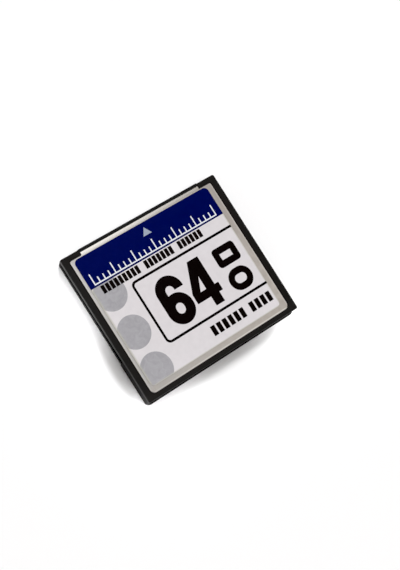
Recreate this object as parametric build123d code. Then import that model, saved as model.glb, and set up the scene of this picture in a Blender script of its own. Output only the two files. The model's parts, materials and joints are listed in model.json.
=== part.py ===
"""A Type I flash memory card, 42.8 x 36.4 x 3.3 mm, as it comes apart on a bench.

Frame: X runs along the connector edge, +Y points to the connector, +Z is up through the label.
The origin is the middle of the card's outline on its underside. All sizes are millimetres.
"""
import os
from math import atan, degrees
from build123d import *

# Overall size
card_width = 42.8
card_length = 36.4
card_height = 3.3

# Moulded frame, in two halves that meet at the parting height
parting_height = 1.65
corner_radius = 0.5
top_edge_radius = 0.15
bottom_edge_bevel = 0.15
front_setback = 0.12
corner_block_width = 5.0
rear_lip_depth = 0.4
step_height = 0.99
step_inset = 0.45
step_corner_radius = 0.9

# Guide slots in the sides, of different height so that the card only goes in one way up
slot_length = 25.78
slot_depth = 1.0
left_slot_height = 1.6
right_slot_height = 1.01
slot_lead_in_length = 0.6
slot_lead_in_rise = 0.2

# Stainless covers, let into the frame, each with a tongue over the connector
cover_thickness = 0.2
cover_recess = 0.08
cover_side_margin = 1.755
cover_rear_margin = 1.19
cover_front_margin = 1.31
cover_corner_radius = 1.2
cover_front_corner_radius = 0.5
cover_edge_bevel = 0.06
tongue_front_margin = 0.72
cover_gap = 0.06

# Folded tabs that hold each cover in the frame
tab_length = 3.0
tab_depth = 0.6
tab_clearance = 0.05
side_tab_spacing = 10.0
side_tab_count = 3
rear_tab_spacing = 11.0
rear_tab_count = 3

# Printed label, stuck on the top cover a little to the left and to the front
label_left_margin = 0.775
label_right_margin = 1.515
label_rear_margin = 1.435
label_front_margin = 0.295
label_corner_radius = 1.15
label_thickness = 0.07

# Inside of the frame: a shelf clamps the board all round, blocks and ribs hold the connector
side_wall = 3.4
rear_wall = 2.9
board_grip = 0.4
board_clearance = 0.05
block_depth = 1.95
rib_length = 0.95
rib_width = 0.8

# Pegs of the lower frame that register the upper frame
peg_size = 0.8
peg_height = 0.8
peg_clearance = 0.04
peg_inset = 2.45
front_peg_setback = 1.35
rear_peg_setback = 1.55

# Socket connector: two rows of holes
contact_pitch = 1.27
row_spacing = 1.27
end_hole_margin = 1.0
pin_hole_radius = 0.34
pin_hole_length = 0.86
funnel_radius = 0.48
funnel_depth = 0.14
plain_hole_sides = 8
cavity_size = 0.86
housing_depth = 5.2
nose_edge_radius = 0.1
flange_length = 2.2
housing_clearance = 0.05
cover_clearance = 0.03

# Stamped fork contacts with tails soldered to both faces of the board
contact_thickness = 0.3
fork_arm_height = 0.135
fork_slot_length = 2.8
fork_setback = 0.2
tail_height = 0.15
tail_length = 1.35

# Circuit board
board_thickness = 0.6
board_front_gap = 0.4

# Memory chips: two thin packages with leads on their short ends, which fill the board's left part
flash_lead_reach = 0.8
flash_lead_pitch = 0.5
flash_lead_width = 0.22
flash_end_margin = 0.2
flash_gap = 0.6
flash_left_margin = 0.5
flash_right_margin = 2.1
flash_rear_margin = 0.4
flash_front_margin = 1.15

# Every chip package
chip_thickness = 0.9
chip_standoff = 0.05
chip_edge_chamfer = 0.1
chip_dimple_radius = 0.4
chip_dimple_sides = 8
chip_dimple_depth = 0.05
chip_dimple_inset = 1.2
lead_thickness = 0.13
lead_foot_length = 0.4

# Controller: square package with leads on four sides
controller_body = 10.0
controller_lead_reach = 1.0
controller_lead_pitch = 0.8
controller_lead_width = 0.35
controller_end_margin = 0.9
controller_right_margin = 1.4

# Small parts on the board, placed across from the middle of the controller
crystal_length = 5.0
crystal_width = 3.2
crystal_base_height = 0.25
crystal_can_height = 0.6
crystal_can_inset = 0.25
crystal_corner_radius = 0.4
crystal_offset = 2.8
regulator_length = 2.9
regulator_width = 1.6
regulator_lead_reach = 0.6
regulator_lead_pitch = 0.95
regulator_lead_width = 0.4
regulator_offset = -4.4
tantalum_length = 3.2
tantalum_width = 1.6
tantalum_height = 0.8
tantalum_offset = -4.4
chip_part_length = 1.6
chip_part_width = 0.8
capacitor_height = 0.7
resistor_height = 0.45
chip_part_end = 0.35
chip_part_end_step = 0.03
chip_part_pitch = 1.5
capacitor_row_count = 5
capacitor_row_offset = -1.0
resistor_row_count = 7
resistor_row_offset = -4.5
network_length = 3.2
network_width = 1.6
network_height = 0.5
network_pitch = 6.0
network_count = 4
network_front_gap = 2.25
network_notch_width = 0.36
network_notch_depth = 0.18
network_notches_per_side = 3
network_notch_pitch = 0.8
bead_length = 2.0
bead_width = 1.2
bead_height = 0.8
bead_offset = 6.3

# Places that follow from the sizes above
half_width = card_width / 2
half_length = card_length / 2
block_front = half_length - front_setback
upper_rear = -half_length + rear_lip_depth
cover_half_width = half_width - cover_side_margin
cover_front = block_front - cover_front_margin
cover_rear = upper_rear + cover_rear_margin
tongue_front = half_length - tongue_front_margin
cover_top = card_height - cover_recess
cover_underside = cover_top - cover_thickness
lower_cover_inside = cover_recess + cover_thickness
label_left = -cover_half_width + label_left_margin
label_right = cover_half_width - label_right_margin
label_rear = cover_rear + label_rear_margin
label_front = cover_front - label_front_margin
cavity_half_width = half_width - side_wall
cavity_rear = upper_rear + rear_wall
block_inside = block_front - block_depth
nose_half_width = half_width - corner_block_width
block_gap_half_width = nose_half_width + housing_clearance
housing_back = half_length - housing_depth
hole_back = half_length - funnel_depth - pin_hole_length
flange_half_width = cavity_half_width - housing_clearance
flange_front = block_inside - housing_clearance
flange_back = flange_front - flange_length
rib_front = flange_back - housing_clearance
rib_back = rib_front - rib_length
board_top = parting_height + board_thickness / 2
board_underside = parting_height - board_thickness / 2
board_half_width = cavity_half_width + board_grip
board_rear = cavity_rear - board_grip
board_front = housing_back - board_front_gap
slot_end = half_length - slot_length
lower_row_height = parting_height - row_spacing / 2
upper_row_height = parting_height + row_spacing / 2
contacts_per_row = int(2 * (nose_half_width - end_hole_margin) / contact_pitch) + 1
tail_end = board_front - tail_length

# Chips: the controller keeps to the right wall, and the memory chips fill what it leaves
controller_half_span = controller_body / 2 + controller_lead_reach
controller_x = cavity_half_width - controller_right_margin - controller_half_span
controller_leads_per_side = int((controller_body - 2 * controller_end_margin) / controller_lead_pitch) + 1
flash_left = -cavity_half_width + flash_left_margin
flash_right = controller_x - controller_half_span - flash_right_margin
flash_x = (flash_left + flash_right) / 2
flash_half_span = (flash_right - flash_left) / 2
flash_body_length = 2 * (flash_half_span - flash_lead_reach)
flash_rear = cavity_rear + flash_rear_margin
flash_front = tail_end - flash_front_margin
flash_body_width = (flash_front - flash_rear - flash_gap) / 2
flash_leads_per_end = int((flash_body_width - 2 * flash_end_margin) / flash_lead_pitch) + 1
network_y = tail_end - network_front_gap - network_width / 2

# The right part of the board holds four rows with equal gaps, from the rear wall to the contacts' tails
row_gap = (tail_end - cavity_rear - 2 * chip_part_length - 2 * controller_half_span - crystal_width) / 5
resistor_row_y = cavity_rear + row_gap + chip_part_length / 2
controller_y = resistor_row_y + chip_part_length / 2 + row_gap + controller_half_span
crystal_row_y = controller_y + controller_half_span + row_gap + crystal_width / 2
capacitor_row_y = crystal_row_y + crystal_width / 2 + row_gap + chip_part_length / 2


def block(x_low, x_high, y_low, y_high, z_low, z_high):
    """A plain block between two corners."""
    return Pos((x_low + x_high) / 2, (y_low + y_high) / 2, (z_low + z_high) / 2) * Box(
        x_high - x_low, y_high - y_low, z_high - z_low
    )


def rounded_plan(half_x, y_low, y_high, radius):
    """A rectangle with round corners, centred on X."""
    return Pos(0, (y_low + y_high) / 2) * RectangleRounded(2 * half_x, y_high - y_low, radius)


def raise_plan(plan, z_low, z_high):
    """A flat plan made solid between two heights."""
    return extrude(Pos(0, 0, z_low) * plan, z_high - z_low)


def fused(*pieces):
    """Pieces joined to one clean solid."""
    whole = pieces[0]
    for piece in pieces[1:]:
        whole = whole + piece
    return whole.clean()


def mirrored(solid):
    """The solid's mirror image above and below the parting plane."""
    return mirror(solid, about=Plane.XY.offset(parting_height))


def cover_plan(grow=0.0):
    """Outline of a cover: a wide sheet with round rear corners, and its tongue."""
    half_x = cover_half_width + grow
    low_y = cover_rear - grow
    rear_y = low_y + cover_corner_radius
    sheet = rounded_plan(half_x, low_y, cover_front + grow, cover_front_corner_radius + grow)
    rear_round = rounded_plan(half_x, low_y, rear_y + 2 * cover_corner_radius, cover_corner_radius + grow)
    front_part = sheet & (Pos(0, rear_y + card_length) * Rectangle(2 * card_width, 2 * card_length))
    rear_part = rear_round & (Pos(0, rear_y - card_length) * Rectangle(2 * card_width, 2 * card_length))
    tongue_low = (cover_front + cover_rear) / 2
    tongue_high = tongue_front + grow
    tongue = Pos(0, (tongue_low + tongue_high) / 2) * Rectangle(
        2 * (nose_half_width + grow), tongue_high - tongue_low
    )
    return front_part + rear_part + tongue


def tab_places():
    """Middle and direction of each folded tab: X, Y, and whether it lies along Y."""
    places = []
    side_x = cover_half_width - cover_thickness / 2
    side_middle = (cover_rear + cover_front) / 2
    for index in range(side_tab_count):
        y = side_middle + (index - (side_tab_count - 1) / 2) * side_tab_spacing
        places.append((-side_x, y, True))
        places.append((side_x, y, True))
    for index in range(rear_tab_count):
        x = (index - (rear_tab_count - 1) / 2) * rear_tab_spacing
        places.append((x, cover_rear + cover_thickness / 2, False))
    return places


def tabs(clearance=0.0):
    """The folded tabs of the top cover, or the pockets for them."""
    solids = []
    length = tab_length + 2 * clearance
    thickness = cover_thickness + 2 * clearance
    low = cover_underside - tab_depth - clearance
    for x, y, along_y in tab_places():
        half_x, half_y = (thickness / 2, length / 2) if along_y else (length / 2, thickness / 2)
        solids.append(block(x - half_x, x + half_x, y - half_y, y + half_y, low, cover_underside))
    return solids


def cover():
    """The top cover: a sheet with a bevelled edge and its folded tabs."""
    sheet = raise_plan(cover_plan(), cover_underside, cover_top)
    rim = sheet.faces().sort_by(Axis.Z)[-1].outer_wire().edges()
    sheet = chamfer(rim, cover_edge_bevel)
    return fused(sheet, *tabs())


def cavity_cut(z_low, z_high):
    """Room inside a frame half: open at the front between the corner blocks."""
    middle = block(-cavity_half_width, cavity_half_width, cavity_rear, block_inside, z_low, z_high)
    mouth = block(-block_gap_half_width, block_gap_half_width, cavity_rear, card_length, z_low, z_high)
    return middle + mouth


def connector_ribs(z_low, z_high):
    """Two ribs behind the connector's flange, which take the push of the pins."""
    solids = []
    for side in (-1, 1):
        inner = side * (cavity_half_width - rib_width)
        outer = side * (cavity_half_width + rib_width)
        solids.append(block(min(inner, outer), max(inner, outer), rib_back, rib_front, z_low, z_high))
    return solids


def board_pocket():
    """Pocket at the parting plane that grips the board's edge."""
    return block(
        -board_half_width - board_clearance, board_half_width + board_clearance,
        board_rear - board_clearance, board_front + board_clearance,
        board_underside, board_top,
    )


def slot_cut(side, slot_height):
    """Guide slot in one side, open at the connector end, with a flared mouth."""
    low = step_height
    high = step_height + slot_height
    mouth = half_length + front_setback
    lead_start = block_front - slot_lead_in_length
    outline = Polyline(
        (slot_end, low), (lead_start, low), (block_front, low - slot_lead_in_rise),
        (mouth, low - slot_lead_in_rise), (mouth, high + slot_lead_in_rise),
        (block_front, high + slot_lead_in_rise), (lead_start, high), (slot_end, high), close=True,
    )
    profile = make_face(outline)
    # the profile's own X is the card's Y, and its own Y is the card's Z
    upright = Plane(origin=(side * (half_width - slot_depth), 0, 0), x_dir=(0, 1, 0), z_dir=(1, 0, 0))
    return extrude(upright * profile, side * 2 * slot_depth)


def peg_places():
    """Corners where the two frame halves register."""
    x = half_width - peg_inset
    return [
        (-x, block_front - front_peg_setback), (x, block_front - front_peg_setback),
        (-x, upper_rear + rear_peg_setback), (x, upper_rear + rear_peg_setback),
    ]


def pegs(size, height):
    """Square pegs, or the holes for them, standing on the parting plane."""
    return [Pos(x, y, parting_height + height / 2) * Box(size, size, height) for x, y in peg_places()]


def upper_frame():
    """Upper half of the moulded frame, with the window and ledge for the top cover."""
    plan = rounded_plan(half_width, upper_rear, block_front, corner_radius)
    body = raise_plan(plan, parting_height, card_height)
    body = fillet(body.faces().sort_by(Axis.Z)[-1].edges(), top_edge_radius)
    window = raise_plan(cover_plan(cover_gap), cover_underside, card_height + cover_recess)
    body = body - window - cavity_cut(parting_height, card_height)
    ribs = connector_ribs(parting_height, cover_underside - cover_clearance)
    body = fused(body, *ribs)
    cuts = tabs(tab_clearance) + pegs(peg_size + 2 * peg_clearance, peg_height + peg_clearance)
    cuts += [board_pocket(), slot_cut(-1, left_slot_height), slot_cut(1, right_slot_height)]
    return body - cuts


def lower_frame():
    """Lower half: narrower below the guide slots, with a lip across the rear to pull the card by."""
    wide_plan = rounded_plan(half_width, upper_rear, block_front, corner_radius)
    wide = raise_plan(wide_plan, step_height, parting_height)
    step_plan = rounded_plan(half_width - step_inset, -half_length, block_front, step_corner_radius)
    step = raise_plan(step_plan, 0, step_height)
    step = chamfer(step.faces().sort_by(Axis.Z)[0].edges(), bottom_edge_bevel)
    body = fused(wide, step)
    window = raise_plan(cover_plan(cover_gap), -cover_recess, lower_cover_inside)
    body = body - window - cavity_cut(0, parting_height)
    ribs = connector_ribs(lower_cover_inside + cover_clearance, parting_height)
    body = fused(body, *ribs, *pegs(peg_size, peg_height))
    cuts = [mirrored(pocket) for pocket in tabs(tab_clearance)]
    cuts += [board_pocket(), slot_cut(-1, left_slot_height), slot_cut(1, right_slot_height)]
    return body - cuts


def front_label():
    """Label film on the flat of the top cover."""
    plan = Pos((label_left + label_right) / 2, (label_rear + label_front) / 2) * RectangleRounded(
        label_right - label_left, label_front - label_rear, label_corner_radius
    )
    return raise_plan(plan, cover_top, cover_top + label_thickness)


def contact_columns():
    """X of each column of contacts."""
    return [(index - (contacts_per_row - 1) / 2) * contact_pitch for index in range(contacts_per_row)]


def contact_cavity():
    """Square cavity behind a pin hole on the Y axis, open at the back of the housing."""
    half = cavity_size / 2
    return block(-half, half, housing_back - cavity_size, hole_back, -half, half)


def round_hole():
    """A pin hole on the Y axis: funnel, round wall and cavity."""
    outline = Polyline(
        (0, half_length), (funnel_radius, half_length), (pin_hole_radius, half_length - funnel_depth),
        (pin_hole_radius, hole_back), (0, hole_back), close=True,
    )
    return revolve(make_face(outline), Axis.Y) + contact_cavity()


def plain_hole():
    """The same hole with flats in place of the round wall, which keeps the full pattern light."""
    front = Plane(origin=(0, half_length, 0), x_dir=(1, 0, 0), z_dir=(0, -1, 0))
    wall_outline = front * RegularPolygon(pin_hole_radius, plain_hole_sides, major_radius=False)
    funnel_outline = front * RegularPolygon(funnel_radius, plain_hole_sides, major_radius=False)
    slope = degrees(atan((funnel_radius - pin_hole_radius) / funnel_depth))
    wall = extrude(wall_outline, funnel_depth + pin_hole_length)
    return wall + extrude(funnel_outline, funnel_depth, taper=slope) + contact_cavity()


def connector_housing():
    """Black moulded socket: a full-height nose, a body between the covers, and a flange to hold it.

    Two opposite end holes are truly round, and the holes between them have flats.
    """
    low = lower_cover_inside + cover_clearance
    high = cover_underside - cover_clearance
    nose_back = tongue_front + cover_gap
    nose = block(-nose_half_width, nose_half_width, nose_back, half_length, 0, card_height)
    front_edges = nose.faces().sort_by(Axis.Y)[-1].edges().filter_by(Axis.X)
    nose = fillet(front_edges, nose_edge_radius)
    body = block(-nose_half_width, nose_half_width, housing_back, nose_back, low, high)
    flange = block(-flange_half_width, flange_half_width, flange_back, flange_front, low, high)
    housing = fused(nose, body, flange)
    columns = contact_columns()
    gauge_holes = [(columns[0], upper_row_height), (columns[-1], lower_row_height)]
    places = [(x, z) for x in columns for z in (lower_row_height, upper_row_height)]
    hole = plain_hole()
    cuts = [Pos(x, 0, z) * round_hole() for x, z in gauge_holes]
    cuts += [Pos(x, 0, z) * hole for x, z in places if (x, z) not in gauge_holes]
    return housing - cuts


def fork_contact():
    """One contact of the upper row at X 0, stamped from sheet: a fork, and a tail on the board's top face.

    Its lower edge runs straight along the plane of the board's face, from the fork to the tail's end.
    """
    tip = hole_back - fork_setback
    crotch = tip - fork_slot_length
    top = 2 * upper_row_height - board_top
    # the outline's own X is the card's Y, and its own Y is the card's Z
    outline = Polyline(
        (tail_end, board_top), (tip, board_top), (tip, board_top + fork_arm_height),
        (crotch, board_top + fork_arm_height), (crotch, top - fork_arm_height),
        (tip, top - fork_arm_height), (tip, top), (board_front, top),
        (board_front, board_top + tail_height), (tail_end, board_top + tail_height), close=True,
    )
    upright = Plane(origin=(-contact_thickness / 2, 0, 0), x_dir=(0, 1, 0), z_dir=(1, 0, 0))
    return extrude(upright * make_face(outline), contact_thickness)


def upper_contacts():
    """The upper row of contacts, each a separate solid."""
    contact = fork_contact()
    return [Pos(x, 0, 0) * contact for x in contact_columns()]


def lower_contacts():
    """The lower row: the same contact turned over, soldered under the board."""
    contact = mirrored(fork_contact())
    return [Pos(x, 0, 0) * contact for x in contact_columns()]


def circuit_board():
    """Bare board, gripped along three edges by the frame."""
    return block(-board_half_width, board_half_width, board_rear, board_front, board_underside, board_top)


def plain_chip(length, width):
    """A moulded chip package centred on the origin, with bevelled top edges."""
    low = board_top + chip_standoff
    body = block(-length / 2, length / 2, -width / 2, width / 2, low, low + chip_thickness)
    return chamfer(body.faces().sort_by(Axis.Z)[-1].edges(), chip_edge_chamfer)


def marked_chip(length, width):
    """A large chip package, with a dimple at its first pin."""
    low = board_top + chip_standoff
    body = plain_chip(length, width)
    dimple_x = -length / 2 + chip_dimple_inset
    dimple_y = width / 2 - chip_dimple_inset
    dimple_z = low + chip_thickness - chip_dimple_depth
    dimple = extrude(RegularPolygon(chip_dimple_radius, chip_dimple_sides), chip_dimple_depth)
    return body - Pos(dimple_x, dimple_y, dimple_z) * dimple


def gull_lead(body_half, reach, width):
    """One bent lead that leaves a package towards +X and stands on the board, centred on Y 0."""
    shoulder = board_top + chip_standoff + chip_thickness / 2
    toe = body_half + reach
    heel = toe - lead_foot_length
    # the outline's own X is the card's X, and its own Y is the card's Z
    outline = Polyline(
        (body_half, shoulder), (heel, board_top), (toe, board_top), (toe, board_top + lead_thickness),
        (heel + lead_thickness, board_top + lead_thickness), (body_half, shoulder + lead_thickness),
        close=True,
    )
    upright = Plane(origin=(0, width / 2, 0), x_dir=(1, 0, 0), z_dir=(0, -1, 0))
    return extrude(upright * make_face(outline), width)


def lead_row(body_half, reach, width, pitch, count, turn):
    """A row of leads along one side of a package, turned about its middle."""
    lead = gull_lead(body_half, reach, width)
    offsets = [(index - (count - 1) / 2) * pitch for index in range(count)]
    return [Rot(0, 0, turn) * Pos(0, offset, 0) * lead for offset in offsets]


def flash_places():
    """Middles of the two memory chips, from the rear of the board to its front."""
    return [(flash_x, flash_rear + flash_body_width / 2), (flash_x, flash_front - flash_body_width / 2)]


def flash_leads(place):
    """Leads on the two short ends of one memory chip."""
    sizes = (
        flash_body_length / 2, flash_lead_reach, flash_lead_width, flash_lead_pitch, flash_leads_per_end,
    )
    rows = lead_row(*sizes, 0) + lead_row(*sizes, 180)
    return [Pos(*place) * lead for lead in rows]


def controller_leads():
    """Leads on the four sides of the controller."""
    sizes = (
        controller_body / 2, controller_lead_reach, controller_lead_width,
        controller_lead_pitch, controller_leads_per_side,
    )
    leads = []
    for turn in (0, 90, 180, 270):
        leads += lead_row(*sizes, turn)
    return [Pos(controller_x, controller_y) * lead for lead in leads]


def crystal_base():
    """Ceramic base of the crystal."""
    plan = Pos(controller_x + crystal_offset, crystal_row_y) * Rectangle(crystal_length, crystal_width)
    return raise_plan(plan, board_top, board_top + crystal_base_height)


def crystal_can():
    """Metal can on the crystal's base."""
    plan = Pos(controller_x + crystal_offset, crystal_row_y) * RectangleRounded(
        crystal_length - 2 * crystal_can_inset, crystal_width - 2 * crystal_can_inset, crystal_corner_radius
    )
    low = board_top + crystal_base_height
    return raise_plan(plan, low, low + crystal_can_height)


def regulator_leads():
    """Three leads on one side of the regulator, and the outer two on the other."""
    sizes = (regulator_width / 2, regulator_lead_reach, regulator_lead_width, regulator_lead_pitch, 3)
    full_row = lead_row(*sizes, 90)
    first, _, last = lead_row(*sizes, 270)
    place = Pos(controller_x + regulator_offset, crystal_row_y)
    return [place * lead for lead in full_row + [first, last]]


def end_capped(length, width, height):
    """A chip component with slightly thicker metal ends, standing on the board at the origin."""
    inner = block(
        -length / 2, length / 2, -width / 2 + chip_part_end_step, width / 2 - chip_part_end_step,
        board_top, board_top + height - chip_part_end_step,
    )
    ends = [
        block(-length / 2, -length / 2 + chip_part_end, -width / 2, width / 2, board_top, board_top + height),
        block(length / 2 - chip_part_end, length / 2, -width / 2, width / 2, board_top, board_top + height),
    ]
    return fused(inner, *ends)


def component_row(component, count, offset, y):
    """Small components side by side, each turned to lie along Y."""
    x = controller_x + offset
    return [Pos(x + index * chip_part_pitch, y) * Rot(0, 0, 90) * component for index in range(count)]


def resistor_networks():
    """Flat resistor networks in a row under the board, with notches between their ends."""
    low = board_underside - network_height
    half = network_width / 2
    body = block(-network_length / 2, network_length / 2, -half, half, low, board_underside)
    notches = []
    for index in range(network_notches_per_side):
        x = (index - (network_notches_per_side - 1) / 2) * network_notch_pitch
        for side in (-1, 1):
            notches.append(Pos(x, side * half, low + network_height / 2) * Box(
                network_notch_width, 2 * network_notch_depth, network_height
            ))
    network = body - notches
    return [
        Pos((index - (network_count - 1) / 2) * network_pitch, network_y) * network
        for index in range(network_count)
    ]


def build_nodes():
    """Every sub-part by name, as one solid or a list of separate solids."""
    rear_flash, front_flash = flash_places()
    flash_chip = marked_chip(flash_body_length, flash_body_width)
    controller_chip = marked_chip(controller_body, controller_body)
    regulator = plain_chip(regulator_length, regulator_width)
    capacitor = end_capped(chip_part_length, chip_part_width, capacitor_height)
    resistor = end_capped(chip_part_length, chip_part_width, resistor_height)
    tantalum = end_capped(tantalum_length, tantalum_width, tantalum_height)
    bead = end_capped(bead_length, bead_width, bead_height)
    return {
        "upper_frame": upper_frame(),
        "lower_frame": lower_frame(),
        "top_cover": cover(),
        "bottom_cover": mirrored(cover()),
        "front_label": front_label(),
        "connector_housing": connector_housing(),
        "upper_contacts": upper_contacts(),
        "lower_contacts": lower_contacts(),
        "circuit_board": circuit_board(),
        "rear_flash_chip": Pos(*rear_flash) * flash_chip,
        "front_flash_chip": Pos(*front_flash) * flash_chip,
        "rear_flash_leads": flash_leads(rear_flash),
        "front_flash_leads": flash_leads(front_flash),
        "controller_chip": Pos(controller_x, controller_y) * controller_chip,
        "controller_leads": controller_leads(),
        "crystal_base": crystal_base(),
        "crystal_can": crystal_can(),
        "voltage_regulator": Pos(controller_x + regulator_offset, crystal_row_y) * regulator,
        "regulator_leads": regulator_leads(),
        "tantalum_capacitor": Pos(controller_x + tantalum_offset, capacitor_row_y) * tantalum,
        "ceramic_capacitors": component_row(
            capacitor, capacitor_row_count, capacitor_row_offset, capacitor_row_y
        ),
        "resistors": component_row(resistor, resistor_row_count, resistor_row_offset, resistor_row_y),
        "resistor_networks": resistor_networks(),
        "ferrite_bead": Pos(controller_x + bead_offset, resistor_row_y) * Rot(0, 0, 90) * bead,
    }


def main():
    os.makedirs("parts", exist_ok=True)
    for name, shape in build_nodes().items():
        pieces = shape if isinstance(shape, list) else [shape]
        solids = [solid for piece in pieces for solid in piece.solids()]
        export_step(Compound(children=solids), f"parts/{name}.step")


main()
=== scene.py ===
"""Looks of a Type I flash memory card: finishes, the printed label, light and camera.

Lengths are in millimetres until they are handed to Blender, which works in metres here.
"""
import json
import math

import bpy
from mathutils import Matrix, Vector


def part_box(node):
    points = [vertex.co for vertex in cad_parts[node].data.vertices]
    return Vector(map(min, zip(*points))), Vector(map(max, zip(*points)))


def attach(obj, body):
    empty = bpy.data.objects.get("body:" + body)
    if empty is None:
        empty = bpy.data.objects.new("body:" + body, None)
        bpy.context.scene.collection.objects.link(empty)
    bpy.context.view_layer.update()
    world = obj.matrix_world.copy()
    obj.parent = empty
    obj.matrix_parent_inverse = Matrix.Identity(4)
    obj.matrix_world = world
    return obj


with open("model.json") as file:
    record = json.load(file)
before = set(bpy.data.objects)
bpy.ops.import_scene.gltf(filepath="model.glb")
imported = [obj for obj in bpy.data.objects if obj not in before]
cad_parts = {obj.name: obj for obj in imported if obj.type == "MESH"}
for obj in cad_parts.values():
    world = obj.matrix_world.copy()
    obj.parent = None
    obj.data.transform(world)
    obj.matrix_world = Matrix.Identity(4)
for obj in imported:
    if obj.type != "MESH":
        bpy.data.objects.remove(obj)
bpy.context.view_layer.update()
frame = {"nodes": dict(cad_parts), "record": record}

MM = 0.001

# Camera: where it looks on the table, from how far, and how it is turned
CAMERA_AIM = (5.22, -1.76, 0.0)
CAMERA_DISTANCE = 290.5
CAMERA_HEADING = 4.99
CAMERA_ELEVATION = 63.87
CAMERA_ROLL = 53.15
CAMERA_LENS = 82.2
CAMERA_SENSOR = 36.0
CAMERA_NEAR = 10
CAMERA_FAR = 20000

# Ink on the label: how thick a layer is, how deep it is rooted, and the layer of ink that lies on ink
PRINT_THICKNESS = 0.004
PRINT_ROOT = 0.02
OVERPRINT = 2
ARC_STEP = 7.5

# Coloured fields on the label, in the card's own X and Y
LABEL_RADIUS = 1.15
BAND_LOW = 9.2
MARKER_TIP = (-0.52, 15.4)
MARKER_BASE = (-1.7, 0.6, 13.55)
DOT_RADIUS = 3.87
DOT_CENTRES = ((-15.6, 6.4), (-15.6, -3.2), (-15.7, -12.5))
PANEL_LEFT = -10.14
PANEL_TOP = 5.97
PANEL_BOTTOM = -9.1
PANEL_RADIUS = 1.0
PANEL_LINE = 0.58

# Numerals, and the block and ring beside them
DIGIT_LOW = -7.7
DIGIT_HEIGHT = 11.6
DIGIT_STROKE = 2.4
SIX_LEFT = -6.75
SIX_WIDTH = 6.9
SIX_BOWL_HEIGHT = 7.3
SIX_TERMINAL = 0.35
FOUR_LEFT = 0.75
FOUR_WIDTH = 7.1
FOUR_STEM_LEFT = 3.65
FOUR_BAR_LOW = 2.35
FOUR_BAR_HEIGHT = 2.0
FOUR_SLOPE_TOP = 3.05
FOUR_SLOPE_FOOT = 4.7
FOUR_COUNTER_INSET = 0.86
FOUR_COUNTER_RISE = 0.92
UNIT_LEFT = 10.1
UNIT_RIGHT = 16.3
UNIT_BLOCK = (-1.4, 3.25)
UNIT_RING = (-7.9, -2.6)
UNIT_STROKE = 1.58
UNIT_CORNER = 0.9

# Graduated scale and rows of bars, each row by its left, low and high
SCALE_LEFT = -17.4
SCALE_RIGHT = 16.4
SCALE_BASE = 9.75
SCALE_LINE = 0.3
SCALE_TICKS = 25
SCALE_SHORT = 1.35
SCALE_LONG = 2.6
SCALE_GROUP = 4
FINE_ROW = (-16.7, 7.05, 8.95)
FINE_GROUPS = (9, 7, 6)
FINE_BAR = 0.9
FINE_GAP = 0.24
FINE_SPACE = 1.6
BOLD_ROW = (0.1, -13.25, -10.9)
BOLD_GROUPS = (6, 4)
BOLD_BAR = 1.18
BOLD_GAP = 0.46
BOLD_SPACE = 1.7

# Shares at the two ends of a span
RISING = (0.0, 1.0)
FALLING = (1.0, 0.0)

# Middle of a noise value's range
NOISE_LOW = 0.3
NOISE_HIGH = 0.7

# Sockets of a mix node that blends colours
MIX_SHARE = 0
MIX_FIRST = 6
MIX_SECOND = 7
MIX_RESULT = 2

# Moulded plastic: roughness, relief, size of its grain and patches, how much the tone wanders, and shine
PLASTIC_ROUGHNESS = (0.36, 0.46)
PLASTIC_ROUGH_PATCH = 0.8
PLASTIC_RELIEF = 0.004
PLASTIC_GRAIN = 0.12
PLASTIC_PATCH = 3.0
PLASTIC_MOTTLE = 0.15
PLASTIC_GLOSS = 0.13

# Black frame: the spans along X, Y or Z over which its finish changes, and where its painted light and
# shade start and end
WALL_TOP = (2.8, 3.0)
PAST_SLOTS = (-6.0, -9.0)
LEFT_FACE = (-20.8, -20.9)
RIGHT_FACE = (20.3, 20.4)
SLOT_MOUTH = (-20.0, -20.3)
SLOT_END = (-6.5, -8.0)
SLOT_FLOOR = (0.92, 1.0)
SLOT_ROOF = (2.58, 2.68)
LEFT_EDGE = (-21.22, -21.3)
REAR_EDGE = (-17.64, -17.7)
TOP_EDGE = (3.1, 3.16)
LIP_FACE = (-17.9, -18.0)
LIP_TOP = (1.4, 1.5)
REAR_SHEEN_SPAN = (-15.0, -16.8)
LEDGE_HIGHLIGHT_SPAN = (-17.72, -17.8)
CORNER_SHADE_SPAN = (-15.0, -12.0)

# Black frame: its shine, plain and worn smooth, and how much duller its walls and its left slot are
FRAME_GLOSS = 0.138
FRAME_POLISHED = 0.43
LIP_POLISH = 0.2
REAR_WALLS_DULL = -0.055
LEFT_WALL_DULL = -0.04
SLOT_DULL = -0.09

# Black frame: its colours: plain black, a painted sheen on the rear rim, a painted highlight on the rear
# ledge, and a left wall painted paler as painted light
FRAME_BLACK = (0.0068, 0.006, 0.0056)
FRAME_REAR_SHEEN = (0.0095, 0.0086, 0.008)
FRAME_LEDGE_HIGHLIGHT = (0.012, 0.0112, 0.0108)
FRAME_LIT_SIDE = (0.0145, 0.0135, 0.013)

# Steel cover: its colours, painted lighter and darker across and along the cover as painted reflection,
# with painted shade towards the rear and mottling at random, and the spans along X or Y over which they
# change
STEEL_LEFT = (0.345, 0.34, 0.34)
STEEL_LEFT_REAR = (0.285, 0.28, 0.28)
STEEL_RIGHT = (0.30, 0.275, 0.26)
STEEL_RIGHT_REAR = (0.45, 0.415, 0.385)
STEEL_SHADE_AND_MOTTLE = (0.30, 0.275, 0.25)
STEEL_HIGHLIGHT = (0.58, 0.56, 0.53)
STEEL_ACROSS = (-16.0, 16.0)
STEEL_ALONG = (12.0, -14.0)
STEEL_BEHIND = (-13.5, -15.2)
STEEL_BEHIND_SHADE = 0.3
STEEL_PATCH = 1.6
STEEL_MOTTLE = 0.6

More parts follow.
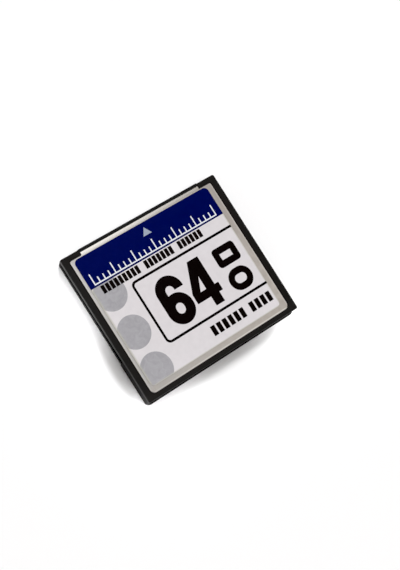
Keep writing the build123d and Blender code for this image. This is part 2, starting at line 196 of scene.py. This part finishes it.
# Steel cover: painted highlights along its rim and a painted reflection on its tongue, with the shares of
# bright steel along them
RIM_SIDE = 0.22
RIM_REAR = 0.32
RIM_FADE = 0.08
RIM_LEFT_SHARES = (0.35, 0.0)
RIM_REAR_SHARES = (0.2, 0.85)
RIM_RIGHT_SHARES = (0.55, 0.25)
TONGUE_START = 16.6
TONGUE_END = 17.3
TONGUE_FADE = 0.1
TONGUE_ALONG_SHARES = (0.35, 1.0)
TONGUE_ACROSS_SHARES = (0.95, 0.5)

# Steel cover: its satin, smoother on the tongue, with fine lines along its length
STEEL_ROUGHNESS = (0.32, 0.40)
STEEL_SATIN = 0.5
STEEL_SATIN_STRETCH = (1.0, 14.0, 1.0)
TONGUE_ROUGHNESS = (1.0, 0.6)
STEEL_RELIEF = 0.0006
STEEL_LINES = 0.08
STEEL_LINES_STRETCH = (1.0, 12.0, 1.0)

# Film and ink: their colours, shine and faint relief, and how wide the painted shade along the label's
# edges is
WHITE_FILM = (0.65, 0.625, 0.65)
EDGE_SHADE_CREAM = (0.42, 0.41, 0.36)
BAND_BLUE = (0.0, 0.0026, 0.07)
INK_BLACK = (0.0042, 0.003, 0.003)
DOT_GREY = (0.34, 0.335, 0.36)
MARKER_GREY = (0.296, 0.344, 0.44)
LINE_WHITE = (0.70, 0.72, 0.78)
FILM_GLOSS = 0.25
FILM_MOTTLE = 0.03
FILM_PATCH = 1.6
FILM_ROUGHNESS = (0.36, 0.46)
FILM_ROUGH_PATCH = 0.9
FILM_RELIEF = 0.0008
FILM_GRAIN = 0.35
EDGE_SHADE_LEFT = 0.55
EDGE_SHADE_RIGHT = 0.35
EDGE_SHADE_REAR = 0.3

# Plated metal: how much its tone wanders, its patches, and its relief
METAL_TONES = (0.92, 1.06)
METAL_PATCH = 0.8
METAL_ROUGH_PATCH = 0.3
METAL_RELIEF = 0.001
METAL_GRAIN = 0.08

# Socket, board and parts on it: colour, size of the grain, and relief
MOULDINGS = (
    ("connector_plastic", (0.008, 0.0078, 0.0078), 0.2, 0.002),
    ("board_laminate", (0.01, 0.12, 0.05), 0.4, 0.003),
    ("chip_resin", (0.02, 0.02, 0.022), 0.08, 0.003),
    ("crystal_ceramic", (0.35, 0.32, 0.28), PLASTIC_GRAIN, PLASTIC_RELIEF),
    ("tantalum_resin", (0.62, 0.36, 0.05), PLASTIC_GRAIN, PLASTIC_RELIEF),
    ("capacitor_ceramic", (0.38, 0.26, 0.16), PLASTIC_GRAIN, PLASTIC_RELIEF),
    ("resistor_ceramic", (0.03, 0.03, 0.034), PLASTIC_GRAIN, PLASTIC_RELIEF),
    ("ferrite", (0.06, 0.06, 0.065), PLASTIC_GRAIN, PLASTIC_RELIEF),
)

# Contacts, leads and the crystal's can: colour and roughness
PLATINGS = (
    ("contact_gold", (0.83, 0.60, 0.22), (0.2, 0.3)),
    ("tinned_lead", (0.70, 0.69, 0.67), (0.3, 0.45)),
    ("crystal_steel", (0.70, 0.68, 0.65), (0.22, 0.32)),
)

# Tabletop
FLOOR_REACH = 3000
FLOOR_WHITE = (0.96, 0.965, 0.98)
FLOOR_ROUGHNESS = 0.9

# Dome of light, and the tone that the picture shows as black
DOME_COLOUR = (1.0, 0.955, 0.90)
DOME_BRIGHTNESS = 0.3
BLACK_POINT = 0.012

# Soft boxes: heading and elevation, distance, size, brightness, and whether matt and glossy faces see them
SOFT_BOXES = (
    ("overhead", (0, 86), 1600, (1400, 1400), 1.6, (False, True)),
    ("overhead_fill", (0, 86), 1570, (1374, 1374), 0.92, (True, False)),
    ("key", (48, 42), 6400, (2080, 2080), 19.0, (True, True)),
    ("key_fill", (48, 42), 6280, (2040, 2040), 7.5, (True, False)),
    ("rear_panel", (-75, 50), 1600, (700, 500), 1.8, (False, True)),
    ("left_strip", (164, 26), 1600, (700, 1000), 14.0, (False, True)),
)

# Small lamps low over the table: place, size and brightness
LOW_LAMPS = (
    ("glow_left", (-27.0, 8.6, 5.0), (5.0, 20.0), 4.2),
    ("glow_corner_left", (-25.5, -19.2, 4.0), (4.0, 5.0), 7.5),
    ("glow_corner_rear", (-17.5, -24.3, 6.0), (15.0, 5.0), 3.8),
    ("glow_rear", (20.0, -23.3, 5.0), (8.0, 4.0), 9.0),
    ("glow_front", (0.0, 25.0, 7.0), (40.0, 5.0), 0.6),
)


def arc(centre, radius, start, end):
    """Points of an arc from one angle to the other, in degrees."""
    steps = max(2, math.ceil(abs(end - start) / ARC_STEP))
    points = []
    for index in range(steps + 1):
        angle = math.radians(start + (end - start) * index / steps)
        points.append((centre[0] + radius * math.cos(angle), centre[1] + radius * math.sin(angle)))
    return points


def circle(centre, radius):
    """Points of a full circle."""
    return arc(centre, radius, 0, 360)[:-1]


def rectangle(left, right, low, high, radius=0.0):
    """A rectangle, with round corners if a radius is given."""
    if radius <= 0:
        return [(left, low), (right, low), (right, high), (left, high)]
    return (
        arc((right - radius, low + radius), radius, -90, 0)
        + arc((right - radius, high - radius), radius, 0, 90)
        + arc((left + radius, high - radius), radius, 90, 180)
        + arc((left + radius, low + radius), radius, 180, 270)
    )


def hollow(left, right, low, high, stroke, radius, hole_radius=0.0):
    """A rectangle with a hole that leaves a stroke of even width."""
    return [
        rectangle(left, right, low, high, radius),
        rectangle(left + stroke, right - stroke, low + stroke, high - stroke, hole_radius),
    ]


def leftward(start, end, point):
    """How far a point lies to the left of a line, times the line's length."""
    across = (end[0] - start[0], end[1] - start[1])
    return across[0] * (point[1] - start[1]) - across[1] * (point[0] - start[0])


def clipped(outline, fence):
    """The part of an outline that lies inside a convex fence, which turns anticlockwise."""
    kept = list(outline)
    for index, start in enumerate(fence):
        end = fence[(index + 1) % len(fence)]
        source = kept
        kept = []
        for number, point in enumerate(source):
            before = source[number - 1]
            depth = leftward(start, end, point)
            depth_before = leftward(start, end, before)
            if (depth >= 0) != (depth_before >= 0):
                share = depth_before / (depth_before - depth)
                kept.append((
                    before[0] + share * (point[0] - before[0]),
                    before[1] + share * (point[1] - before[1]),
                ))
            if depth >= 0:
                kept.append(point)
    return kept


def label_edges():
    """Left, right, rear and front edge of the label, from the CAD label's own box."""
    low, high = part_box("front_label")
    return low.x / MM, high.x / MM, low.y / MM, high.y / MM


def label_top():
    """Height of the label's face."""
    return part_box("front_label")[1].z / MM


def six():
    """Outline and counter of the numeral six, from arcs and straight sides."""
    left, low, stroke = SIX_LEFT, DIGIT_LOW, DIGIT_STROKE
    right = left + SIX_WIDTH
    outer = SIX_WIDTH / 2
    inner = outer - stroke
    middle = left + outer
    top_centre = (middle, low + DIGIT_HEIGHT - outer)
    bowl_centre = (middle, low + SIX_BOWL_HEIGHT - outer)
    foot_centre = (middle, low + outer)
    terminal = top_centre[1] - SIX_TERMINAL
    meet = math.degrees(math.acos((stroke - outer) / outer))
    outline = (
        arc(top_centre, outer, 0, 180)
        + arc(foot_centre, outer, 180, 360)
        + arc(bowl_centre, outer, 0, meet)
        + arc(top_centre, inner, 180, 0)
        + [(right - stroke, terminal), (right, terminal)]
    )
    counter = arc(bowl_centre, inner, 0, 180) + arc(foot_centre, inner, 180, 360)
    return [outline, counter]


def four():
    """Outline and counter of the numeral four, from straight sides."""
    left, low = FOUR_LEFT, DIGIT_LOW
    stem_left = left + FOUR_STEM_LEFT
    stem_right = stem_left + DIGIT_STROKE
    right = left + FOUR_WIDTH
    top = low + DIGIT_HEIGHT
    bar_low = low + FOUR_BAR_LOW
    bar_high = bar_low + FOUR_BAR_HEIGHT
    slope_top = left + FOUR_SLOPE_TOP
    slope_foot = low + FOUR_SLOPE_FOOT
    outline = [
        (stem_left, low), (stem_right, low), (stem_right, bar_low), (right, bar_low),
        (right, bar_high), (stem_right, bar_high), (stem_right, top), (slope_top, top),
        (left, slope_foot), (left, bar_low), (stem_left, bar_low),
    ]
    rise = (top - slope_foot) / FOUR_SLOPE_TOP
    counter_left = left + DIGIT_STROKE * FOUR_COUNTER_INSET
    counter_high = bar_high + rise * (stem_left - counter_left) * FOUR_COUNTER_RISE
    counter = [(stem_left, bar_high), (stem_left, counter_high), (counter_left, bar_high)]
    return [outline, counter]


def panel_line():
    """The open frame round the numerals: two lines from the label's right edge, joined on the left."""
    right = label_edges()[1]
    half = PANEL_LINE / 2
    outer = PANEL_RADIUS + half
    inner = PANEL_RADIUS - half
    top_centre = (PANEL_LEFT + PANEL_RADIUS, PANEL_TOP - PANEL_RADIUS)
    low_centre = (PANEL_LEFT + PANEL_RADIUS, PANEL_BOTTOM + PANEL_RADIUS)
    return (
        [(right, PANEL_TOP + half)] + arc(top_centre, outer, 90, 180) + arc(low_centre, outer, 180, 270)
        + [(right, PANEL_BOTTOM - half), (right, PANEL_BOTTOM + half)]
        + arc(low_centre, inner, 270, 180) + arc(top_centre, inner, 180, 90)
        + [(right, PANEL_TOP - half)]
    )


def row_of_bars(left, low, high, groups, width, gap, space):
    """Equal upright bars in groups."""
    bars = []
    x = left
    for count in groups:
        for _ in range(count):
            bars.append(rectangle(x, x + width, low, high))
            x += width + gap
        x += space - gap
    return bars


def scale_marks():
    """A fine graduated scale as one comb-shaped outline: a base line with short and long ticks."""
    half = SCALE_LINE / 2
    pitch = (SCALE_RIGHT - SCALE_LEFT) / (SCALE_TICKS - 1)
    middle = (SCALE_TICKS - 1) // 2
    comb = [(SCALE_LEFT - half, SCALE_BASE - half), (SCALE_RIGHT + half, SCALE_BASE - half)]
    for index in reversed(range(SCALE_TICKS)):
        x = SCALE_LEFT + index * pitch
        tall = (index - middle) % SCALE_GROUP == 0
        top = SCALE_BASE + (SCALE_LONG if tall else SCALE_SHORT)
        if index < SCALE_TICKS - 1:
            comb.append((x + half, SCALE_BASE + half))
        comb += [(x + half, top), (x - half, top)]
        if index > 0:
            comb.append((x - half, SCALE_BASE + half))
    return comb


def placed(name, data):
    """A new object for a mesh, curve, lamp or camera, linked into the scene."""
    thing = bpy.data.objects.new(name, data)
    bpy.context.scene.collection.objects.link(thing)
    return thing


def printed(name, outlines, material, layer=1):
    """A field of ink on the label: closed outlines, filled and given a hair's thickness."""
    curve = bpy.data.curves.new(name, "CURVE")
    curve.dimensions = "2D"
    curve.fill_mode = "BOTH"
    high = label_top() + layer * PRINT_THICKNESS
    low = label_top() - PRINT_ROOT
    curve.extrude = (high - low) / 2 * MM
    for outline in outlines:
        spline = curve.splines.new("POLY")
        spline.points.add(len(outline) - 1)
        for point, (x, y) in zip(spline.points, outline):
            point.co = (x * MM, y * MM, 0.0, 1.0)
        spline.use_cyclic_u = True
    draft = placed(name + "_draft", curve)
    mesh = bpy.data.meshes.new_from_object(draft)
    bpy.data.objects.remove(draft)
    bpy.data.curves.remove(curve)
    mesh.transform(Matrix.Translation((0, 0, (high + low) / 2 * MM)))
    mesh.name = name
    mesh.materials.clear()
    mesh.materials.append(material)
    piece = placed(name, mesh)
    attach(piece, "root")


class Finish:
    """A procedural material under construction, on object coordinates."""

    def __init__(self, name):
        self.material = bpy.data.materials.new(name)
        self.material.use_nodes = True
        self.nodes = self.material.node_tree.nodes
        self.links = self.material.node_tree.links
        self.shader = self.nodes["Principled BSDF"]
        self.place = self.nodes.new("ShaderNodeTexCoord").outputs["Object"]

    def set(self, **values):
        """Constants on the shader's own sockets; underscores stand for spaces."""
        for key, value in values.items():
            self.shader.inputs[key.replace("_", " ")].default_value = value

    def feed(self, socket, value):
        """Leads a node's output to one of the shader's sockets."""
        self.links.new(value, self.shader.inputs[socket])

    def noise(self, size, detail=3.0, stretch=(1.0, 1.0, 1.0), swirl=0.0):
        """Noise with features of about that size in millimetres, stretched along each axis."""
        mapping = self.nodes.new("ShaderNodeMapping")
        mapping.inputs["Scale"].default_value = [1.0 / (size * MM * s) for s in stretch]
        self.links.new(self.place, mapping.inputs["Vector"])
        node = self.nodes.new("ShaderNodeTexNoise")
        node.inputs["Scale"].default_value = 1.0
        node.inputs["Detail"].default_value = detail
        node.inputs["Distortion"].default_value = swirl
        self.links.new(mapping.outputs["Vector"], node.inputs["Vector"])
        return node.outputs["Fac"]

    def spread(self, value, low, high):
        """The middle of a noise value's range, spread from low to high."""
        node = self.nodes.new("ShaderNodeMapRange")
        node.inputs["From Min"].default_value = NOISE_LOW
        node.inputs["From Max"].default_value = NOISE_HIGH
        node.inputs["To Min"].default_value = low
        node.inputs["To Max"].default_value = high
        self.links.new(value, node.inputs["Value"])
        return node.outputs["Result"]

    def ramp(self, axis, span, shares=RISING):
        """A value that goes from one share to the other over a span along an axis, in millimetres."""
        split = self.nodes.new("ShaderNodeSeparateXYZ")
        self.links.new(self.place, split.inputs["Vector"])
        node = self.nodes.new("ShaderNodeMapRange")
        node.inputs["From Min"].default_value = span[0] * MM
        node.inputs["From Max"].default_value = span[1] * MM
        node.inputs["To Min"].default_value = shares[0]
        node.inputs["To Max"].default_value = shares[1]
        self.links.new(split.outputs[axis], node.inputs["Value"])
        return node.outputs["Result"]

    def remap(self, value, first, second):
        """A value between 0 and 1, led over to the span between two others."""
        node = self.nodes.new("ShaderNodeMapRange")
        node.inputs["To Min"].default_value = first
        node.inputs["To Max"].default_value = second
        self.links.new(value, node.inputs["Value"])
        return node.outputs["Result"]

    def combine(self, operation, first, second):
        """Two values put together by a named operation."""
        node = self.nodes.new("ShaderNodeMath")
        node.operation = operation
        self.links.new(first, node.inputs[0])
        self.links.new(second, node.inputs[1])
        return node.outputs["Value"]

    def product(self, first, second):
        """The product of two values."""
        return self.combine("MULTIPLY", first, second)

    def total(self, first, second):
        """The sum of two values."""
        return self.combine("ADD", first, second)

    def largest(self, *values):
        """The largest of several values."""
        best = values[0]
        for value in values[1:]:
            best = self.combine("MAXIMUM", best, value)
        return best

    def mix(self, first, second, share):
        """A blend of two colours, each given as three numbers or as another node's output."""
        node = self.nodes.new("ShaderNodeMix")
        node.data_type = "RGBA"
        for number, part in ((MIX_FIRST, first), (MIX_SECOND, second)):
            if isinstance(part, tuple):
                node.inputs[number].default_value = (*part, 1.0)
            else:
                self.links.new(part, node.inputs[number])
        self.links.new(share, node.inputs[MIX_SHARE])
        return node.outputs[MIX_RESULT]

    def wandering(self, colour, darker, lighter, value):
        """A colour that wanders between two shares of itself with a noise value."""
        return self.mix(toned(colour, darker), toned(colour, lighter), self.spread(value, *RISING))

    def roughness(self, span, value):
        """Roughness that wanders between two values with a noise value."""
        self.feed("Roughness", self.spread(value, *span))

    def bump(self, height, value):
        """A relief of that height in millimetres, which completes the material."""
        node = self.nodes.new("ShaderNodeBump")
        node.inputs["Distance"].default_value = height * MM
        self.links.new(value, node.inputs["Height"])
        self.feed("Normal", node.outputs["Normal"])
        return self.material


def toned(colour, share):
    """A colour made lighter or darker by a share."""
    return tuple(min(1.0, part * share) for part in colour)


def moulded(name, colour, grain, relief):
    """Moulded plastic or ceramic with a fine eroded texture."""
    finish = Finish(name)
    finish.set(Specular_IOR_Level=PLASTIC_GLOSS)
    patches = finish.noise(PLASTIC_PATCH)
    tone = finish.wandering(colour, 1 - PLASTIC_MOTTLE, 1 + PLASTIC_MOTTLE, patches)
    finish.feed("Base Color", tone)
    finish.roughness(PLASTIC_ROUGHNESS, finish.noise(PLASTIC_ROUGH_PATCH))
    return finish.bump(relief, finish.noise(grain, detail=4.0))


def frame_black():
    """The frame's black plastic, with worn top edges, a left wall painted paler as painted light and a
    dull left slot.

    Its rim is also painted paler towards the rear edge as a painted sheen, and its rear ledge carries a
    painted highlight.
    """
    finish = Finish("frame_plastic")
    below_top = finish.ramp("Z", WALL_TOP, FALLING)
    left_wall = finish.product(finish.ramp("X", LEFT_FACE), below_top)
    right_wall = finish.product(finish.ramp("X", RIGHT_FACE), below_top)
    rear_walls = finish.product(finish.ramp("Y", PAST_SLOTS), below_top)
    slot_plan = finish.product(finish.ramp("X", SLOT_MOUTH), finish.ramp("Y", SLOT_END, FALLING))
    slot_height = finish.product(finish.ramp("Z", SLOT_FLOOR), finish.ramp("Z", SLOT_ROOF, FALLING))
    dull_walls = finish.total(
        finish.remap(rear_walls, 0.0, REAR_WALLS_DULL), finish.remap(left_wall, 0.0, LEFT_WALL_DULL)
    )
    dull_slot = finish.remap(finish.product(slot_plan, slot_height), 0.0, SLOT_DULL)
    edges = finish.largest(finish.ramp("X", LEFT_EDGE), finish.ramp("Y", REAR_EDGE))
    top_edges = finish.product(edges, finish.ramp("Z", TOP_EDGE))
    lip = finish.product(
        finish.ramp("Y", LIP_FACE, (0.0, LIP_POLISH)), finish.ramp("Z", LIP_TOP, FALLING)
    )
    polish = finish.remap(finish.largest(top_edges, right_wall, lip), FRAME_GLOSS, FRAME_POLISHED)
    finish.feed("Specular IOR Level", finish.total(finish.total(dull_walls, dull_slot), polish))
    patches = finish.noise(PLASTIC_PATCH)
    black = finish.wandering(FRAME_BLACK, 1 - PLASTIC_MOTTLE, 1 + PLASTIC_MOTTLE, patches)
    # Painted sheen: the rim's top is painted paler towards the rear edge.
    rear_sheen = finish.mix(black, FRAME_REAR_SHEEN, finish.ramp("Y", REAR_SHEEN_SPAN))
    # Painted highlight: the rear ledge is painted paler, as if it caught the light.
    ledge_highlight = finish.mix(rear_sheen, FRAME_LEDGE_HIGHLIGHT, finish.ramp("Y", LEDGE_HIGHLIGHT_SPAN))
    # Painted light: the left wall below the top is painted paler, and painted shade takes that back
    # towards the rear corner, where a low lamp lights it.
    lit_wall = finish.product(left_wall, finish.ramp("Y", CORNER_SHADE_SPAN))
    finish.feed("Base Color", finish.mix(ledge_highlight, FRAME_LIT_SIDE, lit_wall))
    finish.roughness(PLASTIC_ROUGHNESS, finish.noise(PLASTIC_ROUGH_PATCH))
    return finish.bump(PLASTIC_RELIEF, finish.noise(PLASTIC_GRAIN, detail=4.0))


def satin_steel():
    """Satin stainless sheet, lightly grained along its length, with painted reflection across it, painted
    highlights along its rim and a painted reflection on its tongue.
    """
    finish = Finish("cover_steel")
    finish.set(Metallic=1.0)
    # Painted reflection: the steel is painted lighter and darker across the cover and along it, and
    # painted shade darkens it towards the rear.
    across = finish.ramp("X", STEEL_ACROSS)
    front = finish.mix(STEEL_LEFT, STEEL_RIGHT, across)
    rear_tone = finish.mix(STEEL_LEFT_REAR, STEEL_RIGHT_REAR, across)
    tone = finish.mix(front, rear_tone, finish.ramp("Y", STEEL_ALONG))
    tone = finish.mix(tone, STEEL_SHADE_AND_MOTTLE, finish.ramp("Y", STEEL_BEHIND, (0.0, STEEL_BEHIND_SHADE)))
    tone = finish.mix(tone, STEEL_SHADE_AND_MOTTLE, finish.spread(finish.noise(STEEL_PATCH), 0.0, STEEL_MOTTLE))
    low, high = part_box("top_cover")
    left, right, rear = low.x / MM, high.x / MM, low.y / MM
    # Painted highlights: bright lines along the cover's left, right and rear rim, and a painted reflection
    # on the tongue.
    left_highlight = finish.ramp("X", (left + RIM_SIDE, left + RIM_SIDE + RIM_FADE), RIM_LEFT_SHARES)
    right_highlight = finish.product(
        finish.ramp("X", (right - RIM_SIDE - RIM_FADE, right - RIM_SIDE)),
        finish.ramp("Y", (rear, TONGUE_START), RIM_RIGHT_SHARES),
    )
    rear_highlight = finish.product(
        finish.ramp("Y", (rear + RIM_REAR, rear + RIM_REAR + RIM_FADE), FALLING),
        finish.ramp("X", (left, right), RIM_REAR_SHARES),
    )
    tongue_sheen = finish.product(
        finish.ramp("Y", (TONGUE_START, TONGUE_END), TONGUE_ALONG_SHARES),
        finish.ramp("X", (left, right), TONGUE_ACROSS_SHARES),
    )
    tongue_step = (TONGUE_START, TONGUE_START + TONGUE_FADE)
    tongue = finish.product(tongue_sheen, finish.ramp("Y", tongue_step))
    rim = finish.largest(left_highlight, right_highlight, rear_highlight, tongue)
    finish.feed("Base Color", finish.mix(tone, STEEL_HIGHLIGHT, rim))
    satin = finish.spread(finish.noise(STEEL_SATIN, stretch=STEEL_SATIN_STRETCH), *STEEL_ROUGHNESS)
    finish.feed("Roughness", finish.product(satin, finish.ramp("Y", tongue_step, TONGUE_ROUGHNESS)))
    return finish.bump(STEEL_RELIEF, finish.noise(STEEL_LINES, detail=2.0, stretch=STEEL_LINES_STRETCH))


def film(name, colour, specular=FILM_GLOSS, mottle=FILM_MOTTLE, shaded_edges=False, swirl=0.0):
    """Printed plastic film: a nearly even colour with faint mottling and a soft satin face.

    With shaded edges, the film is painted creamy grey along the label's left, right and rear edges as
    painted shade.
    """
    finish = Finish(name)
    finish.set(Specular_IOR_Level=specular)
    patches = finish.noise(FILM_PATCH, detail=4.0, swirl=swirl)
    tone = finish.wandering(colour, 1 - mottle, 1 + mottle, patches)
    # Painted shade: creamy grey along the label's left, right and rear edges.
    if shaded_edges:
        left, right, rear, _ = label_edges()
        near_edge = finish.largest(
            finish.ramp("X", (left, left + EDGE_SHADE_LEFT), FALLING),
            finish.ramp("X", (right - EDGE_SHADE_RIGHT, right)),
            finish.ramp("Y", (rear, rear + EDGE_SHADE_REAR), FALLING),
        )
        tone = finish.mix(tone, EDGE_SHADE_CREAM, near_edge)
    finish.feed("Base Color", tone)
    finish.roughness(FILM_ROUGHNESS, finish.noise(FILM_ROUGH_PATCH))
    return finish.bump(FILM_RELIEF, finish.noise(FILM_GRAIN))


def metal(name, colour, rough):
    """A plated metal surface."""
    finish = Finish(name)
    finish.set(Metallic=1.0)
    finish.feed("Base Color", finish.wandering(colour, *METAL_TONES, finish.noise(METAL_PATCH)))
    finish.roughness(rough, finish.noise(METAL_ROUGH_PATCH))
    return finish.bump(METAL_RELIEF, finish.noise(METAL_GRAIN))


def node_finishes():
    """Material of each CAD node, by the record's material slot."""
    finishes = {
        "frame_plastic": frame_black(),
        "cover_steel": satin_steel(),
        "label_film": film("label_film", WHITE_FILM, shaded_edges=True),
    }
    for name, colour, grain, relief in MOULDINGS:
        finishes[name] = moulded(name, colour, grain, relief)
    for name, colour, rough in PLATINGS:
        finishes[name] = metal(name, colour, rough)
    return finishes


def dress_nodes():
    """Gives every CAD node its material."""
    finishes = node_finishes()
    slots = {part["node"]: part["material_slot"] for part in frame["record"]["subparts"]}
    for name, piece in frame["nodes"].items():
        material = finishes[slots[name]]
        if not piece.material_slots:
            piece.data.materials.append(material)
        for slot in piece.material_slots:
            slot.material = material


def print_label():
    """Every field of ink on the label."""
    left, right, rear, front = label_edges()
    field = rectangle(left, right, rear, front, LABEL_RADIUS)
    above_band = rectangle(left, right, BAND_LOW, 2 * front)
    below_band = rectangle(left, right, -2 * front, BAND_LOW)
    blue = film("ink_blue", BAND_BLUE, specular=0.09, mottle=0.06)
    black = film("ink_black", INK_BLACK, specular=0.085, mottle=0.1)
    grey = film("ink_grey", DOT_GREY, mottle=0.09, shaded_edges=True, swirl=1.5)
    pale = film("ink_pale", MARKER_GREY)
    white = film("ink_white", LINE_WHITE)
    printed("print_band", [clipped(field, above_band)], blue)
    for number, centre in enumerate(DOT_CENTRES, 1):
        dot = clipped(clipped(circle(centre, DOT_RADIUS), field), below_band)
        printed(f"print_dot_{number}", [dot], grey)
    base_left, base_right, base = MARKER_BASE
    marker = [(base_left, base), (base_right, base), MARKER_TIP]
    printed("print_marker", [marker], pale, OVERPRINT)
    printed("print_scale", [scale_marks()], white, OVERPRINT)
    printed("print_panel_line", [panel_line()], black)
    printed("print_six", six(), black)
    printed("print_four", four(), black)
    block = hollow(UNIT_LEFT, UNIT_RIGHT, *UNIT_BLOCK, UNIT_STROKE, UNIT_CORNER)
    printed("print_unit_block", block, black)
    round_end = (UNIT_RING[1] - UNIT_RING[0]) / 2
    ring = hollow(UNIT_LEFT, UNIT_RIGHT, *UNIT_RING, UNIT_STROKE, round_end, round_end - UNIT_STROKE)
    printed("print_unit_ring", ring, black)
    fine_bars = row_of_bars(*FINE_ROW, FINE_GROUPS, FINE_BAR, FINE_GAP, FINE_SPACE)
    printed("print_fine_bars", fine_bars, black, OVERPRINT)
    bold_bars = row_of_bars(*BOLD_ROW, BOLD_GROUPS, BOLD_BAR, BOLD_GAP, BOLD_SPACE)
    printed("print_bold_bars", bold_bars, black)


def lay_floor():
    """A plain pale tabletop under the card."""
    reach = FLOOR_REACH * MM
    mesh = bpy.data.meshes.new("floor")
    corners = [(-reach, -reach, 0), (reach, -reach, 0), (reach, reach, 0), (-reach, reach, 0)]
    mesh.from_pydata(corners, [], [(0, 1, 2, 3)])
    finish = Finish("floor_white")
    finish.set(Base_Color=(*FLOOR_WHITE, 1.0), Roughness=FLOOR_ROUGHNESS, Specular_IOR_Level=0.0)
    mesh.materials.append(finish.material)
    floor = placed("floor", mesh)


def lamp_of(name, size, brightness):
    """A rectangular lamp whose face has the given brightness, whatever its size."""
    data = bpy.data.lights.new(name, "AREA")
    data.shape = "RECTANGLE"
    data.size, data.size_y = size[0] * MM, size[1] * MM
    data.energy = brightness * math.pi * data.size * data.size_y
    return placed(name, data)


def soft_box(name, aim, distance, size, brightness, seen):
    """A large lamp that faces the card from a heading and elevation in degrees."""
    lamp = lamp_of(name, size, brightness)
    across, up = math.radians(aim[0]), math.radians(aim[1])
    away = Vector((math.cos(across) * math.cos(up), math.sin(across) * math.cos(up), math.sin(up)))
    lamp.location = away * distance * MM
    lamp.rotation_mode = "QUATERNION"
    lamp.rotation_quaternion = (-away).to_track_quat("-Z", "Y")
    lamp.visible_diffuse, lamp.visible_glossy = seen


def low_lamp(name, place, size, brightness):
    """A small lamp that lifts the shadow on the table and isn't mirrored in anything."""
    lamp = lamp_of(name, size, brightness)
    lamp.location = Vector(place) * MM
    lamp.visible_camera = False
    lamp.visible_glossy = False


def light_scene():
    """A dome, an overhead panel, a key from beyond the right front corner, side panels and low lamps."""
    world = bpy.data.worlds.new("studio")
    world.use_nodes = True
    world.node_tree.nodes["Background"].inputs["Color"].default_value = (*DOME_COLOUR, 1.0)
    world.node_tree.nodes["Background"].inputs["Strength"].default_value = DOME_BRIGHTNESS
    bpy.context.scene.world = world
    for box in SOFT_BOXES:
        soft_box(*box)
    for lamp in LOW_LAMPS:
        low_lamp(*lamp)
    view = bpy.context.scene.view_settings
    view.view_transform = "Standard"
    view.use_curve_mapping = True
    view.curve_mapping.black_level = (BLACK_POINT,) * 3
    view.curve_mapping.update()


def place_camera():
    """The camera at the photograph's angle."""
    heading = math.radians(CAMERA_HEADING)
    elevation = math.radians(CAMERA_ELEVATION)
    roll = math.radians(CAMERA_ROLL)
    forward = Vector((
        math.cos(heading) * math.cos(elevation), math.sin(heading) * math.cos(elevation),
        -math.sin(elevation),
    ))
    level_right = forward.cross(Vector((0, 0, 1))).normalized()
    level_up = level_right.cross(forward)
    right = level_right * math.cos(roll) + level_up * math.sin(roll)
    up = level_up * math.cos(roll) - level_right * math.sin(roll)
    data = bpy.data.cameras.new("camera")
    data.sensor_width = CAMERA_SENSOR
    data.lens = CAMERA_LENS
    data.clip_start = CAMERA_NEAR * MM
    data.clip_end = CAMERA_FAR * MM
    camera = placed("camera", data)
    place = (Vector(CAMERA_AIM) - forward * CAMERA_DISTANCE) * MM
    turned = Matrix((right, up, -forward)).transposed().to_4x4()
    camera.matrix_world = Matrix.Translation(place) @ turned
    bpy.context.scene.camera = camera


dress_nodes()
print_label()
lay_floor()
light_scene()
place_camera()
